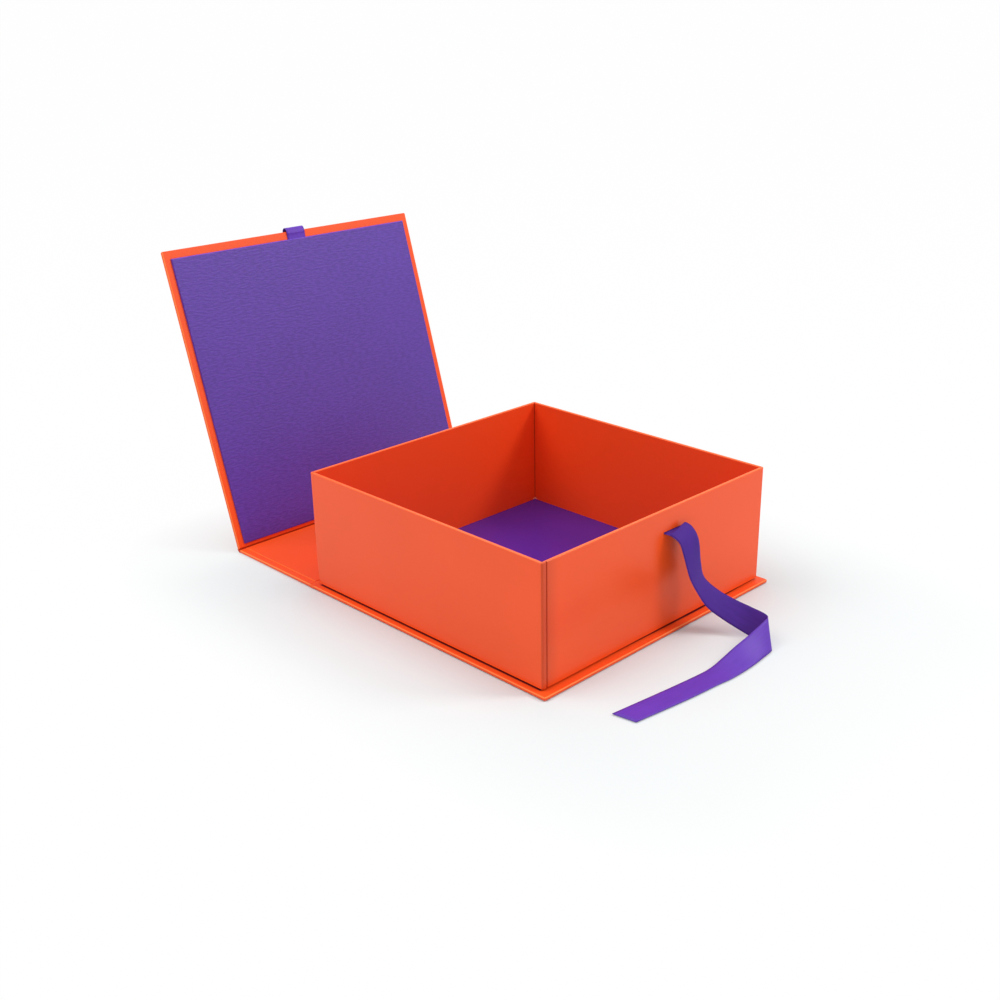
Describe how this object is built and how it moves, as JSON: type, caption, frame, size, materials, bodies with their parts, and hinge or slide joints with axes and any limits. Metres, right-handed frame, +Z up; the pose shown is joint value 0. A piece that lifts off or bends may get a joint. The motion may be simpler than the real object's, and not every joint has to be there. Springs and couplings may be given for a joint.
{
  "type": "folding_gift_box",
  "caption": "Square folding gift box with an open tray, a hinged spine and a lid leaning back, a purple pad inside the lid, and satin ribbons to tie it shut.",
  "frame": {"origin": "middle of the tray's footprint, on the underside of the base panel", "axes": "+Z up; -Y is the front wall with the ribbon; +Y is the spine and lid; +X is the box's right side seen from its front"},
  "size_m": [0.208, 0.4091, 0.1993],
  "materials": {
    "case_paper": "matte",
    "tray_paper": "matte",
    "purple_card": "matte",
    "purple_ribbon": "satin",
    "magnet_metal": "satin"
  },
  "bodies": {
    "base": {"base_panel": "case_paper", "tray": "tray_paper", "tray_floor_liner": "purple_card", "front_wall_lining": "tray_paper", "front_ribbon": "purple_ribbon", "wall_magnets": "magnet_metal", "base_hinge_paper": "case_paper"},
    "spine": {"spine_panel": "case_paper", "spine_liner": "case_paper", "lid_hinge_paper": "case_paper"},
    "lid": {"lid_panel": "case_paper", "lid_pad": "purple_card", "lid_ribbon": "purple_ribbon", "lid_magnets": "magnet_metal"}
  },
  "joints": [
    {"name": "spine_hinge", "type": "hinge", "parent": "base", "child": "spine", "pos_m": [0, 0.1025, 0], "axis": [1, 0, 0], "range_deg": [0, 90], "deforming": ["base_hinge_paper"]},
    {"name": "lid_hinge", "type": "hinge", "parent": "spine", "child": "lid", "pos_m": [0, 0.1851, 0], "axis": [1, 0, 0], "range_deg": [-74, 16], "deforming": ["lid_hinge_paper"]}
  ]
}
